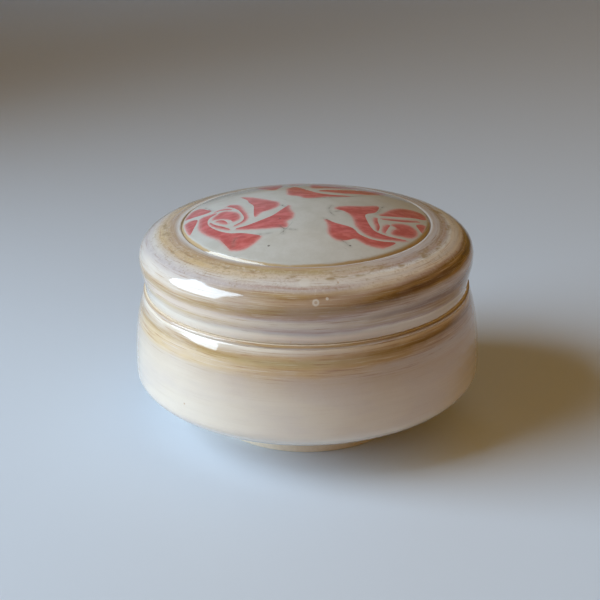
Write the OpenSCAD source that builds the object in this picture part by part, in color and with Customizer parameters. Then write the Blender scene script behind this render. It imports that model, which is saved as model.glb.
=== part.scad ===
// Porcelain trinket box: a thrown bowl, a lift-off lid, and a domed panel of
// coloured clay set into the lid. Millimetres, +Z up, origin under the foot.

/* [Bowl] */
// Widest radius of the bowl, at the belly
belly_r = 51.2; // [46:0.1:64]
// Height of the widest part of the belly
belly_z = 17.2; // [14.5:0.1:21]
// Outer radius of the bowl at its rim
rim_r = 47.8; // [44:0.1:60]
// Height of the rim, where the lid sits
rim_z = 41.6; // [34:0.1:52]
// Thickness of the bowl's wall
bowl_wall = 4; // [3:0.1:5]
// Thickness of the bowl's floor
floor_t = 4.8; // [3.5:0.1:6]
// Height of the bead round the rim
bead_h = 1.1; // [0.8:0.1:1.6]
// Depth of the line cut under the bead
line_d = 0.3; // [0.2:0.1:0.5]

/* [Foot] */
// Outer radius of the foot ring
foot_r = 30; // [24:0.5:38]
// Height of the foot ring
foot_h = 2.6; // [2:0.1:4]
// Width of the ring that touches the table
foot_w = 3.6; // [2.5:0.1:6]

/* [Lid] */
// Widest radius of the lid
lid_r = 48.5; // [45:0.1:60]
// Height of the lid's widest part above the rim
lid_belly_h = 9.4; // [7:0.1:12]
// Height of the panel's edge above the rim
shoulder_h = 17.9; // [15:0.1:24]
// Thickness of the lid's wall
lid_wall = 4; // [3:0.1:5]
// How far the lid's lower edge stands in from the rim's outside
lid_inset = 0.6; // [0:0.1:1.5]
// Radius that rounds the lid's lower edge
lid_edge_r = 0.8; // [0.5:0.1:1.2]
// Depth of the flange below the rim
flange_h = 5; // [3:0.5:8]
// Thickness of the flange
flange_wall = 3; // [2:0.1:4]
// Gap between the flange and the bowl's mouth
flange_gap = 0.7; // [0.4:0.1:1.2]

/* [Panel] */
// Radius of the inlaid panel
panel_r = 35.8; // [34:0.1:40]
// Rise of the dome, from the panel's edge to its top
dome_rise = 6.5; // [4:0.1:8]
// Thickness of the panel
panel_t = 3; // [2.6:0.1:4]
// Width of the groove round the panel
groove_w = 0.7; // [0.4:0.1:1]
// Thickness of the rose slices
slice_t = 1.8; // [1.6:0.1:2.2]
// Depth of the pink petals in their slices
petal_t = 1.2; // [0.8:0.1:1.4]
// Plain white margin between the slices and the panel's edge
slice_margin = 0.7; // [0.5:0.1:1.5]
// Plain white margin between the petals and a slice's edge
petal_margin = 0.5; // [0.4:0.1:1]

/* [Colours] */
// Glazed white porcelain
white_clay = "WhiteSmoke"; // [WhiteSmoke, Ivory, White]
// White clay of the rose slices
slice_clay = "Beige"; // [Beige, Ivory, White]
// Pink clay of the petals
pink_clay = "IndianRed"; // [IndianRed, LightCoral, PaleVioletRed]
// Darker pink clay of the hearts
heart_clay = "Brown"; // [Brown, FireBrick, IndianRed]

/* [Hidden] */
$fn = 240;
CURVE_STEPS = 14;  // straight steps along each curve of a profile
PETAL_STEPS = 4;   // straight steps between two points of a petal's outline
OVER = 20;         // how far a cutting body stands above the dome
PLAN_R = 35.8;     // the panel radius that the roses' outlines are drawn for

mouth_r = rim_r - bowl_wall;
flange_r = mouth_r - flange_gap;
bead_r = bead_h / 2;
floor_z = foot_h + floor_t;
inner_belly_r = belly_r - bowl_wall;
lid_edge = rim_r - lid_inset;
panel_z = rim_z + shoulder_h;
ridge_foot = [panel_r + (lid_r - panel_r) * 0.28, panel_z - 1];
top_z = panel_z + dome_rise;
plan_scale = panel_r / PLAN_R;
dome_r = (panel_r * panel_r + dome_rise * dome_rise) / (2 * dome_rise);
dome_z = top_z - dome_r;

ROSES = ["left", "right", "back"];
LEFT_PARTS = ["heart", "heart_fold", "heart_cap", "inner_line", "inner_ring", "top_petal",
    "right_petal", "swirl_petal", "left_petal", "corner_petal"];
RIGHT_PARTS = ["heart", "heart_fold", "inner_line", "outer_line", "edge_petal", "upper_petal",
    "swirl_petal", "lower_petal"];
BACK_PARTS = ["heart", "heart_fold", "inner_petal", "front_petal", "lobed_petal", "left_petal",
    "far_petal", "right_petal"];
PARTS = [LEFT_PARTS, RIGHT_PARTS, BACK_PARTS];

// ---- curves ----

// A cubic curve from a to d that leaves a towards b and reaches d from c
function curve(a, b, c, d, n = CURVE_STEPS) = [
    for (i = [0:n]) let (t = i / n, u = 1 - t)
        u * u * u * a + 3 * u * u * t * b + 3 * u * t * t * c + t * t * t * d
];

// A list without its first point, to carry on from the one before
function rest(p) = [for (i = [1:len(p) - 1]) p[i]];

// An arc round centre c from angle a0 to angle a1
function arc(c, r, a0, a1, n = CURVE_STEPS) = [
    for (i = [0:n]) let (a = a0 + (a1 - a0) * i / n) c + r * [cos(a), sin(a)]
];

// The point at t of a smooth curve that runs from b to c, with neighbours a and d
function between(a, b, c, d, t) =
    0.5 * (2 * b + (c - a) * t + (2 * a - 5 * b + 4 * c - d) * t * t
        + (3 * b - a - 3 * c + d) * t * t * t);

// A closed smooth outline through the points p
function closed(p, n = PETAL_STEPS) = let (m = len(p)) [
    for (i = [0:m - 1]) for (k = [0:n - 1])
        between(p[(i + m - 1) % m], p[i], p[(i + 1) % m], p[(i + 2) % m], k / n)
];

// An open smooth path through the points p, each [x, y, width]
function path(p, n = PETAL_STEPS) = let (m = len(p) - 1) concat(
    [for (i = [0:m - 1]) for (k = [0:n - 1])
        between(p[max(i - 1, 0)], p[i], p[i + 1], p[min(i + 2, m)], k / n)],
    [p[m]]
);

// The outline of a ribbon whose middle follows p, half its width to each side
function ribbon(p) = let (
    c = path(p),
    m = len(c) - 1,
    side = [for (i = [0:m]) let (
        d = c[min(i + 1, m)] - c[max(i - 1, 0)],
        l = norm([d[0], d[1]])
    ) [-d[1], d[0]] * c[i][2] / 2 / l]
) concat(
    [for (i = [0:m]) [c[i][0], c[i][1]] + side[i]],
    [for (i = [m:-1:0]) [c[i][0], c[i][1]] - side[i]]
);

// An oval outline, squarer as the power rises
function oval(c, rx, ry, power = 2, n = 96) = [
    for (i = [0:n - 1]) let (a = 360 * i / n) c + [
        rx * sign(cos(a)) * pow(abs(cos(a)), 2 / power),
        ry * sign(sin(a)) * pow(abs(sin(a)), 2 / power)
    ]
];

// ---- outlines of the roses, in plan ----

SLICES = [
    oval([-23.3, -9.8], 20.8, 20.2, 1.9),
    oval([24.8, -14.2], 20.9, 19.5, 2),
    oval([4.1, 20.2], 20.6, 19.7, 1.9)
];

LEFT_ROSE = [
    // heart
    closed([[-23.9, -2.4], [-21.9, -3.4], [-19.9, -5.4], [-18.8, -7.8], [-18.9, -10.1], [-20.3, -11.1],
        [-21.1, -9.9], [-22.5, -8.4], [-24.5, -7.3], [-26, -6.8], [-25.9, -5]]),
    // fold below the heart
    ribbon([[-25.2, -8.3, 0.5], [-24, -8.9, 1.2], [-22.9, -10.3, 1.2], [-22, -11.7, 0.5]]),
    // thin line over the heart
    ribbon([[-25.9, -0.9, 0.4], [-24.5, -0.4, 0.8], [-22.7, -1, 0.9], [-21.2, -2.3, 0.4]]),
    // thin line under the heart
    ribbon([[-27, -8.4, 0.4], [-25.6, -11, 0.8], [-23.4, -13.3, 0.9], [-21, -15.6, 0.4]]),
    // faded ring round the heart's right side
    ribbon([[-22.4, 2, 1.4], [-20.3, -0, 1.8], [-18.8, -3.3, 1], [-17.7, -6.6, 0.8],
        [-16.9, -10, 0.8], [-17.7, -12.4, 0.7], [-20, -14, 0.4]]),
    // top
    closed([[-18.9, 8.9], [-16.4, 6.9], [-12.9, 3.2], [-9.7, 0.1], [-8.1, -1.6], [-8.1, -4.5], [-10.4, -6.8],
        [-12.9, -8.1], [-14.3, -10.5], [-14.7, -6.4], [-14.9, -2.2], [-16.3, 1.3], [-17.1, 4.7]]),
    // right
    closed([[-19.5, -15.9], [-16, -15], [-11.4, -12.5], [-8.9, -10.5], [-6.8, -7.3], [-5, -4.8],
        [-4.8, -7.4], [-3.7, -10.6], [-4, -13.4], [-5.6, -15.3], [-5.4, -18.2], [-9, -18.3],
        [-14, -17.7]]),
    // lower swirl
    closed([[-25.3, -2.3], [-28, -2.2], [-30, -3.2], [-30, -7.7], [-29.4, -11.6], [-27, -15.9],
        [-24, -19.4], [-22.2, -22.7], [-20.4, -25.9], [-17.5, -26.9], [-15, -25.7], [-12.4, -22.1],
        [-14.5, -20.5], [-18, -18.7], [-21, -17.7], [-24.4, -14.7], [-27, -10.6], [-27.8, -7.1],
        [-27.2, -4.3]]),
    // left
    closed([[-32.9, -2.2], [-31, -3], [-31.2, -6.5], [-31.7, -9.3], [-32.3, -12.1], [-33.5, -9.9],
        [-34.5, -6.8], [-34.3, -3.9]]),
    // upper left corner
    closed([[-34.7, 0.4], [-33.9, 4.3], [-32.7, 7.2], [-30.7, 7.2], [-29, 4.4], [-27.2, 1.3],
        [-29, 0.2], [-32.1, 0.3]])
];

RIGHT_ROSE = [
    // heart
    closed([[24.2, -12.7], [26.4, -11], [28.8, -10.5], [30.5, -12.4], [30.5, -15],
        [28.9, -17.4], [26.4, -17.8], [24, -18], [24.2, -16], [25.4, -14.2]]),
    // fold left of the heart
    ribbon([[21.6, -18.1, 0.4], [21.9, -16.3, 1], [22.6, -14.2, 1], [23.4, -13.2, 0.4]]),
    // thin line left of the heart
    ribbon([[19.8, -17.8, 0.4], [20, -15.1, 0.9], [19.6, -12.3, 0.9], [19.9, -10, 0.5]]),
    // thin line over the heart
    ribbon([[21.3, -10.2, 0.4], [24.4, -9.3, 0.9], [28, -8, 1.1], [32.1, -5.6, 0.5]]),
    // right edge
    closed([[31.1, -8.5], [33.1, -7.1], [34.1, -8.4], [33.7, -10.9], [32.7, -13.5], [31.8, -11.2]]),
    // upper right
    closed([[21.1, -7.9], [22.5, -5.6], [24.5, -2.1], [27, 1.1], [30, 2.9], [33.1, 3], [34.5, 0.7],
        [34.3, -2.3], [31, -3.6], [26.5, -5.9]]),
    // long swirl
    closed([[8.8, -7.2], [9.5, -5.6], [12.9, -4.2], [16.9, -2.9], [20.7, -0.8], [20.7, -3.4], [19.5, -6.5],
        [16.8, -8.9], [17.1, -13.1], [18.3, -17.2], [20, -18.9], [23, -19.7], [27.7, -19.6],
        [23.5, -21.1], [19, -21.7], [16.2, -20.2], [14.2, -16.9], [13.3, -11.5], [11.1, -8.4]]),
    // lower
    closed([[5.6, -14.2], [8, -16], [12, -17.6], [13.4, -19], [14.6, -21.1], [17.6, -22.7],
        [21, -22.8], [24.4, -22.1], [22.6, -24.5], [20.2, -25.9], [16.6, -25.5], [13.6, -23.5],
        [11, -24.7], [8.4, -24.6], [6.4, -21.8], [6.4, -17.3]])
];

BACK_ROSE = [
    // heart
    closed([[5, 25.1], [7, 23.7], [9.4, 24.2], [10.8, 26.2], [10, 28.3], [7.4, 28.7], [5.6, 27.6]]),
    // fold before the heart
    ribbon([[3.8, 24.1, 0.4], [6, 22.2, 1], [9, 21.8, 1.1], [12.4, 24.4, 0.5]]),
    // inner
    closed([[2.4, 14.2], [6, 14.8], [9.9, 15.8], [14.4, 18.1], [17.9, 21.5], [14.9, 20.7], [9.9, 18.9],
        [5.4, 18.6], [3, 22.6], [1.8, 19.6]]),
    // front right
    closed([[4, 9.8], [6.9, 8.9], [10.9, 8.4], [13.9, 9.1], [17.9, 10.7], [21.3, 13.6], [23.6, 17.4],
        [23.8, 20.1], [21.5, 19.4], [17.9, 16.6], [13.9, 14.2], [8.9, 12.3], [5.3, 11.3]]),
    // front left, lobed
    closed([[-3.4, 16.3], [-1.4, 14.1], [1, 10], [4, 6.7], [7.9, 5.5], [13.1, 5.7], [9.9, 4.1],
        [5.9, 3.1], [2.6, 1.7], [0, 1.6], [-1.6, 3.5], [-4.7, 5.4], [-5.1, 10.2], [-4.9, 14.2]]),
    // left
    closed([[-14, 23.3], [-13.7, 19], [-11.5, 15.7], [-9.3, 13.2], [-7.9, 15.4], [-7, 19.7], [-7.4, 24.7],
        [-10.4, 26.4]]),
    // far left
    closed([[-4.6, 22.1], [-2.4, 20.3], [-0.8, 23.3], [0.8, 27.5], [4.4, 30.6], [3, 32.5], [-1, 32.1],
        [-4.4, 28.3]]),
    // right
    closed([[20, 22.7], [22.6, 23.9], [20.6, 26.2], [16, 29.1], [10.6, 31.4], [7.4, 32.1],
        [8.4, 30.5], [13, 27.9], [17, 25.1]])
];

ROSE_PETALS = [LEFT_ROSE, RIGHT_ROSE, BACK_ROSE];

// ---- profiles, radius then height ----

// The bowl's outside, from the foot up over the bead to the rim's flat seat
function bowl_outside() = concat(
    [[foot_r, 0.4], [foot_r, foot_h]],
    rest(curve([foot_r, foot_h],
        [foot_r + (belly_r - foot_r) * 0.47, foot_h + (belly_z - foot_h) * 0.47],
        [belly_r, belly_z - (belly_z - foot_h) * 0.37],
        [belly_r, belly_z])),
    rest(curve([belly_r, belly_z],
        [belly_r, belly_z + (rim_z - belly_z) * 0.25],
        [belly_r - (belly_r - rim_r) * 0.2, belly_z + (rim_z - belly_z) * 0.66],
        [rim_r, rim_z - bead_h - line_d])),
    [[rim_r - line_d, rim_z - bead_h]],
    arc([rim_r - bead_r, rim_z - bead_r], bead_r, -50, 90, 8)
);

// The bowl's inside, from its mouth down the wall to the middle of the floor
function bowl_inside() = concat(
    arc([mouth_r + bead_r, rim_z - bead_r], bead_r, 90, 180, 6),
    curve([mouth_r, rim_z - flange_h - bead_h],
        [inner_belly_r - (inner_belly_r - mouth_r) * 0.2, rim_z - (rim_z - belly_z) * 0.5],
        [inner_belly_r, belly_z + bowl_wall * 2],
        [inner_belly_r, belly_z + bowl_wall]),
    rest(curve([inner_belly_r, belly_z + bowl_wall],
        [inner_belly_r, belly_z - 1],
        [foot_r + 4, floor_z],
        [foot_r - foot_w * 2, floor_z])),
    [[0, floor_z]]
);

// The underside inside the foot ring, from the middle out to the ring
function foot_inside() = concat(
    [[0, foot_h]],
    curve([foot_r - foot_w - 5, foot_h], [foot_r - foot_w - 2, foot_h],
        [foot_r - foot_w, foot_h * 0.7], [foot_r - foot_w, 0.4], 8),
    [[foot_r - foot_w + 0.4, 0], [foot_r - 0.4, 0]]
);

// The lid's outside, from its rounded lower edge up to the groove round the panel
function lid_outside() = concat(
    arc([lid_edge - lid_edge_r, rim_z + lid_edge_r], lid_edge_r, -90, 0, 6),
    rest(curve([lid_edge, rim_z + lid_edge_r],
        [lid_edge, rim_z + lid_belly_h * 0.4],
        [lid_r, rim_z + lid_belly_h * 0.65],
        [lid_r, rim_z + lid_belly_h])),
    rest(curve([lid_r, rim_z + lid_belly_h],
        [lid_r, rim_z + lid_belly_h + (shoulder_h - lid_belly_h) * 0.5],
        [panel_r + (lid_r - panel_r) * 0.75, panel_z - 2.4],
        ridge_foot)),
    rest(curve(ridge_foot,
        ridge_foot + [-(lid_r - panel_r) * 0.08, 0.5],
        [panel_r + groove_w + 0.2, panel_z - 0.3],
        [panel_r + groove_w / 2, panel_z - groove_w / 2], 8)),
    [[panel_r, panel_z - groove_w], [panel_r - groove_w, top_z], [0, top_z]]
);

// The lid's hollow, from under the middle of the dome down the flange to the seat
function lid_inside() = let (
    roof_r = dome_r - panel_t - lid_wall,
    a = asin((panel_r - lid_wall) / roof_r),
    roof_end = [0, dome_z] + roof_r * [sin(a), cos(a)],
    flange_in = flange_r - flange_wall
) concat(
    arc([0, dome_z], roof_r, 90, 90 - a),
    rest(curve(roof_end,
        roof_end + (lid_r - panel_r) * 0.85 * [cos(a), -sin(a)],
        [lid_r - lid_wall + 0.5, rim_z + lid_belly_h],
        [flange_in, rim_z + flange_wall / 2])),
    arc([flange_in + flange_wall / 2, rim_z - flange_h + flange_wall / 2], flange_wall / 2,
        180, 360, 12),
    [[flange_r, rim_z]]
);

// ---- building blocks ----

module dome(depth = 0) translate([0, 0, dome_z]) sphere(dome_r - depth, $fn = 360);

// Everything within an outline from a depth below the dome's surface upwards
module cut_from(depth, points) difference() {
    translate([0, 0, panel_z - OVER / 2]) linear_extrude(dome_rise + OVER)
        polygon(points * plan_scale);
    dome(depth);
}

// A plain disc, of a radius, from a depth below the dome's surface upwards
module disc_from(depth, r) difference() {
    translate([0, 0, panel_z - OVER / 2]) cylinder(r = r, h = dome_rise + OVER);
    dome(depth);
}

// One slice's whole body, still without the pockets for its petals
module slice_body(i) intersection() {
    dome();
    cut_from(slice_t, SLICES[i]);
    cylinder(r = panel_r - slice_margin, h = top_z + OVER);
}

// One petal, or the cutter for its pocket when it is tall
module petal_body(i, k, tall = false) intersection() {
    cut_from(petal_t, ROSE_PETALS[i][k]);
    cylinder(r = panel_r - slice_margin - petal_margin, h = top_z + OVER);
    if (tall) cylinder(r = panel_r, h = top_z + OVER);
    else dome();
}

// ---- sub-parts ----

// The thrown bowl, with its turned foot ring: one piece of clay
module bowl() color(white_clay) rotate_extrude()
    polygon(concat(bowl_outside(), bowl_inside(), foot_inside()));

// The thrown lid, with its flange below and the pocket for the panel above
module lid() color(white_clay) difference() {
    rotate_extrude() polygon(concat(lid_outside(), lid_inside()));
    disc_from(panel_t, panel_r);
}

// The white panel that carries the three slices
module panel() color(white_clay) difference() {
    intersection() {
        dome();
        disc_from(panel_t, panel_r);
    }
    // the panel's half of the groove
    rotate_extrude() polygon([[panel_r - groove_w / 2, panel_z + 1],
        [panel_r - groove_w / 2, panel_z], [panel_r, panel_z - groove_w],
        [panel_r + 1, panel_z - groove_w], [panel_r + 1, panel_z + 1]]);
    for (i = [0:2]) intersection() {
        cut_from(slice_t, SLICES[i]);
        cylinder(r = panel_r - slice_margin, h = top_z + OVER);
    }
}

// The white clay of one rose slice
module rose_slice(i) color(slice_clay) difference() {
    slice_body(i);
    for (k = [0:len(PARTS[i]) - 1]) petal_body(i, k, tall = true);
}

// One pink petal
module petal(i, k) color(k < 2 ? heart_clay : pink_clay) petal_body(i, k);

bowl();
lid();
panel();
for (i = [0:2]) {
    rose_slice(i);
    for (k = [0:len(PARTS[i]) - 1])
        petal(i, k);
}
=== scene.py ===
"""A porcelain trinket box: a thrown and glazed bowl, its lift-off lid, and a domed panel of
coloured-clay roses set in the lid. Lengths in the shape functions are millimetres."""
import math
from types import SimpleNamespace

import bpy
import numpy as np
from bpy.props import FloatProperty, FloatVectorProperty, PointerProperty
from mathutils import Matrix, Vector
from mathutils.geometry import delaunay_2d_cdt


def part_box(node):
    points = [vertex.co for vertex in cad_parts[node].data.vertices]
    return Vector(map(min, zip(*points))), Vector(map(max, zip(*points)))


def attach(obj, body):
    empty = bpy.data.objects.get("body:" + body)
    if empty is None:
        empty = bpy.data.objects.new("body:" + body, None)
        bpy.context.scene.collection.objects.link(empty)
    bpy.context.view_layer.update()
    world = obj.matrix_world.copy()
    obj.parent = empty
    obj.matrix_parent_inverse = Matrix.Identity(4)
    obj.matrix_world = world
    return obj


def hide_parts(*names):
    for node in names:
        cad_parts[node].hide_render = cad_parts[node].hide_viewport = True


bl_info = {
    "name": "Porcelain trinket box",
    "version": (1, 0, 0),
    "blender": (4, 5, 0),
    "location": "View3D > Sidebar > Trinket box",
    "description": "Builds a glazed porcelain trinket box with roses inlaid in its lid",
    "category": "Object",
}

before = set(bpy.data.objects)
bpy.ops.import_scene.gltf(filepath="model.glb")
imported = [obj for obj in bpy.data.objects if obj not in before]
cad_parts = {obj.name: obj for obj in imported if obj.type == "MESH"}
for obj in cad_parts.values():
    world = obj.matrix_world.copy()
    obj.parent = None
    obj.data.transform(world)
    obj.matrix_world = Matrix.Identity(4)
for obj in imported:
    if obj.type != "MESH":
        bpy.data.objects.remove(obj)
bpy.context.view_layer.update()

MM = 0.001
FAR = 190.0  # millimetres along a profile, past the end of any
BOWL_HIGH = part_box("bowl")[1]
LID_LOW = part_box("lid")[0]
PANEL_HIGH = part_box("panel")[1]
ROSES = ("left", "right", "back")


def srgb(red, green, blue):
    """A display colour, 0 to 255, as linear light."""
    c = np.array([red, green, blue]) / 255
    return tuple(float(v) for v in np.where(c <= 0.04045, c / 12.92, ((c + 0.055) / 1.055) ** 2.4))


# ---- sizes and colours ----


def length(name, description, default):
    return FloatProperty(name=name, description=description, default=default, min=0,
                         unit="LENGTH", subtype="DISTANCE", precision=4)


def colour(name, description, default):
    return FloatVectorProperty(name=name, description=description, default=default, size=3,
                               min=0, max=1, subtype="COLOR")


class TrinketBoxSizes(bpy.types.PropertyGroup):
    """Sizes of the thrown bowl, the lid and the panel."""

    belly_radius: length("Belly radius", "Widest radius of the bowl", BOWL_HIGH.x)
    belly_height: length("Belly height", "Height of the bowl's widest part", 0.0172)
    rim_radius: length("Rim radius", "Outer radius of the bowl's rim", 0.0478)
    rim_height: length("Rim height", "Height of the seat between bowl and lid", BOWL_HIGH.z)
    bowl_wall: length("Bowl wall", "Thickness of the bowl's wall", 0.004)
    floor_height: length("Floor height", "Height of the bowl's inner floor", 0.0074)
    bead: length("Rim bead", "Height of the bead round the rim", 0.0011)
    foot_radius: length("Foot radius", "Outer radius of the foot ring", 0.030)
    foot_height: length("Foot height", "Height of the foot ring", 0.0026)
    foot_width: length("Foot width", "Width of the foot ring", 0.0036)
    lid_radius: length("Lid radius", "Widest radius of the lid", 0.0485)
    lid_belly: length("Lid belly", "Height of the lid's widest part above the seat", 0.0094)
    lid_inset: length("Lid inset", "How far the lid's lower edge stands in from the rim", 0.0006)
    lid_wall: length("Lid wall", "Thickness of the lid's wall", 0.004)
    flange_depth: length("Flange depth", "Depth of the flange below the seat",
                         BOWL_HIGH.z - LID_LOW.z)
    flange_wall: length("Flange wall", "Thickness of the flange", 0.003)
    flange_gap: length("Flange gap", "Gap between the flange and the bowl's mouth", 0.0007)
    panel_radius: length("Panel radius", "Radius of the inlaid panel", PANEL_HIGH.x)
    panel_top: length("Panel top", "Height of the top of the dome", PANEL_HIGH.z)
    dome_rise: length("Dome rise", "Rise of the dome above the panel's edge", 0.0065)
    panel_thickness: length("Panel thickness", "Thickness of the panel", 0.003)
    groove: length("Groove", "Width of the groove round the panel", 0.0007)
    slice_depth: length("Slice depth", "Thickness of the rose slices", 0.0018)
    petal_depth: length("Petal depth", "Depth of the petals in their slices", 0.0012)
    ripple: length("Throwing rings", "Height of the faint rings left by throwing", 0.00002)


class TrinketBoxColours(bpy.types.PropertyGroup):
    """Colours of the clays and of the glaze."""

    glaze_white: colour("White glaze", "Thick white glaze", srgb(226, 218, 208))
    bare_clay: colour("Bare clay", "Unglazed porcelain", srgb(250, 238, 216))
    panel_clay: colour("Panel clay", "White clay of the panel", srgb(205, 204, 199))
    slice_clay: colour("Slice clay", "White clay of the slices", srgb(197, 195, 188))
    pink_clay: colour("Pink clay", "Pink clay of the petals", srgb(214, 116, 117))
    deep_pink: colour("Deep pink clay", "Where the pink clay is thickest", srgb(188, 90, 91))
    rust: colour("Golden brown glaze", "Thick glaze that broke golden brown", srgb(190, 140, 90))
    ochre: colour("Ochre glaze", "Grains where the glaze broke ochre", srgb(158, 132, 92))
    lilac: colour("Lilac glaze", "Where the glaze thins to lilac", srgb(186, 170, 180))


class TrinketBoxStage(bpy.types.PropertyGroup):
    """The floor, the light and the camera."""

    window_power: FloatProperty(name="Window power", description="Power of the window light",
                                default=67, min=0, unit="POWER")
    back_power: FloatProperty(name="Back power", description="Power of the light far behind",
                              default=1.6, min=0, unit="POWER")
    sky_power: FloatProperty(name="Room brightness", description="Light from all round",
                             default=0.44, min=0)
    back_colour: colour("Back colour", "Cool light far behind", (0.2, 0.6, 1.0))
    floor_colour: colour("Floor colour", "Plain pale floor", (0.71, 0.78, 0.88))
    window_colour: colour("Window colour", "Cool light of the window", (0.66, 0.84, 1.0))
    room_colour: colour("Room colour", "Warm light from the rest of the room",
                        (0.61, 0.33, 0.055))


def millimetres(sizes):
    """The sizes as plain numbers of millimetres, for the shape functions."""
    return SimpleNamespace(**{key: getattr(sizes, key) / MM for key in sizes.__annotations__})


# ---- profiles, as arrays of radius and height in millimetres ----


def line(a, b, step=0.6):
    """Evenly spaced points from a to b, without b."""
    a, b = np.array(a, float), np.array(b, float)
    n = max(1, int(math.ceil(np.linalg.norm(b - a) / step)))
    return a + (b - a) * (np.arange(n) / n)[:, None]


def curve(a, b, c, d, n):
    """A cubic curve from a to d, leaving towards b and arriving from c, without d."""
    t = (np.arange(n) / n)[:, None]
    u = 1 - t
    a, b, c, d = (np.array(p, float) for p in (a, b, c, d))
    return u**3 * a + 3 * u * u * t * b + 3 * u * t * t * c + t**3 * d


def arc(centre, radius, start, end, n):
    """Points on a circle from one angle to another, in degrees, without the last."""
    a = np.radians(start + (end - start) * np.arange(n) / n)
    return np.array(centre, float) + radius * np.stack([np.cos(a), np.sin(a)], 1)


class Outline:
    """A turned piece's profile, built up stretch by stretch. Each point keeps whether it is
    inside the piece and whether its clay is bare of glaze."""

    def __init__(self):
        self.points, self.inside, self.bare = [], [], []

    def add(self, points, inside=0.0, bare=0.0):
        self.points.append(points)
        self.inside.append(np.full(len(points), inside))
        self.bare.append(np.full(len(points), bare))
        return self

    def arrays(self):
        return (np.concatenate(self.points), np.concatenate(self.inside),
                np.concatenate(self.bare))


def bowl_profile(s):
    """The bowl from the middle of its underside, round the foot ring, up the wall, over the
    rim and down the inside to the middle of the floor."""
    belly, belly_z = s.belly_radius, s.belly_height
    rim, rim_z, bead = s.rim_radius, s.rim_height, s.bead
    foot, foot_h, foot_w = s.foot_radius, s.foot_height, s.foot_width
    wall, floor_z = s.bowl_wall, s.floor_height
    ring_in, soft, knob = foot - foot_w, 0.5, bead / 2
    mouth, inner = rim - wall, belly - wall
    o = Outline()
    o.add(line([0, foot_h], [ring_in - 5, foot_h], 1.5))
    o.add(curve([ring_in - 5, foot_h], [ring_in - 2, foot_h], [ring_in, foot_h * 0.7],
                [ring_in, soft], 10))
    o.add(arc([ring_in + soft, soft], soft, 180, 270, 5), bare=1)
    o.add(line([ring_in + soft, 0], [foot - soft, 0], 0.5), bare=1)
    o.add(arc([foot - soft, soft], soft, 270, 360, 5), bare=1)
    o.add(line([foot, soft], [foot, foot_h - soft], 0.3), bare=0.75)
    o.add(curve([foot, foot_h - soft], [foot, foot_h], [foot, foot_h],
                [foot + soft, foot_h + soft * 0.6], 5), bare=0.3)
    o.add(curve([foot + soft, foot_h + soft * 0.6],
                [foot + (belly - foot) * 0.47, foot_h + (belly_z - foot_h) * 0.47],
                [belly, belly_z - (belly_z - foot_h) * 0.37], [belly, belly_z], 44))
    o.add(curve([belly, belly_z], [belly, belly_z + (rim_z - belly_z) * 0.25],
                [belly - (belly - rim) * 0.2, belly_z + (rim_z - belly_z) * 0.66],
                [rim, rim_z - bead - 0.35], 52))
    o.add(curve([rim, rim_z - bead - 0.35], [rim - 0.02, rim_z - bead - 0.1],
                [rim - 0.3, rim_z - bead - 0.1], [rim - 0.3, rim_z - bead + 0.05], 4))
    o.add(arc([rim - knob, rim_z - knob], knob, -50, 90, 10))
    o.add(line([rim - knob, rim_z], [mouth + knob, rim_z], 0.7), bare=1)
    o.add(arc([mouth + knob, rim_z - knob], knob, 90, 180, 6), bare=0.8)
    turn_z = rim_z - s.flange_depth - bead
    o.add(line([mouth, rim_z - knob], [mouth, turn_z], 0.8), inside=1, bare=0.2)
    o.add(curve([mouth, turn_z],
                [inner - (inner - mouth) * 0.2, rim_z - (rim_z - belly_z) * 0.5],
                [inner, belly_z + wall * 2], [inner, belly_z + wall], 22), inside=1)
    o.add(curve([inner, belly_z + wall], [inner, belly_z - 1], [foot + 4, floor_z],
                [foot - foot_w * 2, floor_z], 26), inside=1)
    o.add(line([foot - foot_w * 2, floor_z], [0, floor_z], 2), inside=1)
    o.add(np.array([[0, floor_z]]), inside=1)
    return o.arrays()


def dome_radius(s):
    """Radius and centre height of the sphere that the panel's top is part of."""
    edge, rise = s.panel_radius, s.dome_rise
    radius = (edge**2 + rise**2) / (2 * rise)
    return radius, s.panel_top - radius


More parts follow.
